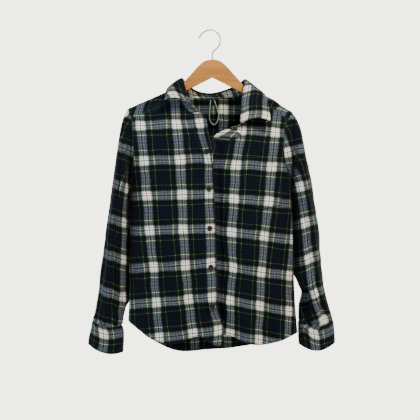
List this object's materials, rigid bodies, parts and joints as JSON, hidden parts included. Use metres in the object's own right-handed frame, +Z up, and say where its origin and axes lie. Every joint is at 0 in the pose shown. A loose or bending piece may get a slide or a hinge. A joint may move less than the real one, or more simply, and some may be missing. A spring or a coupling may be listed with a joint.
{
  "type": "flannel shirt on a wooden hanger",
  "caption": "Long-sleeved plaid flannel shirt, open at the neck, hanging on a flat wooden hanger with a wire hook.",
  "frame": {"origin": "inside top of the hook's crook, where the hanger rests on its rail", "axes": "+Z up, the shirt's front faces -Y, the wearer's left sleeve is towards +X"},
  "size_m": [0.6245, 0.1465, 0.8205],
  "materials": {
    "flannel": "brushed cotton, plaid",
    "flannel_placket": "brushed cotton, light stripe of the plaid",
    "loop_cord": "woven cord",
    "button_horn": "satin",
    "hanger_wood": "clear varnish",
    "hook_steel": "bright wire"
  },
  "bodies": {
    "root": {"front_right": "flannel", "front_left": "flannel", "back": "flannel", "yoke": "flannel", "sleeve_right": "flannel", "sleeve_left": "flannel", "cuff_right": "flannel", "cuff_left": "flannel", "collar_stand": "flannel", "collar_leaf": "flannel", "chest_pocket": "flannel", "placket_band": "flannel_placket", "button_band": "flannel_placket", "sleeve_placket_right": "flannel_placket", "sleeve_placket_left": "flannel_placket", "button_1": "button_horn", "button_2": "button_horn", "button_3": "button_horn", "button_4": "button_horn", "button_5": "button_horn", "button_collar": "button_horn", "button_cuff_right_1": "button_horn", "button_cuff_right_2": "button_horn", "button_cuff_left_1": "button_horn", "button_cuff_left_2": "button_horn", "hang_loop": "loop_cord", "hanger_wood": "hanger_wood", "hanger_hook": "hook_steel"}
  },
  "joints": []
}
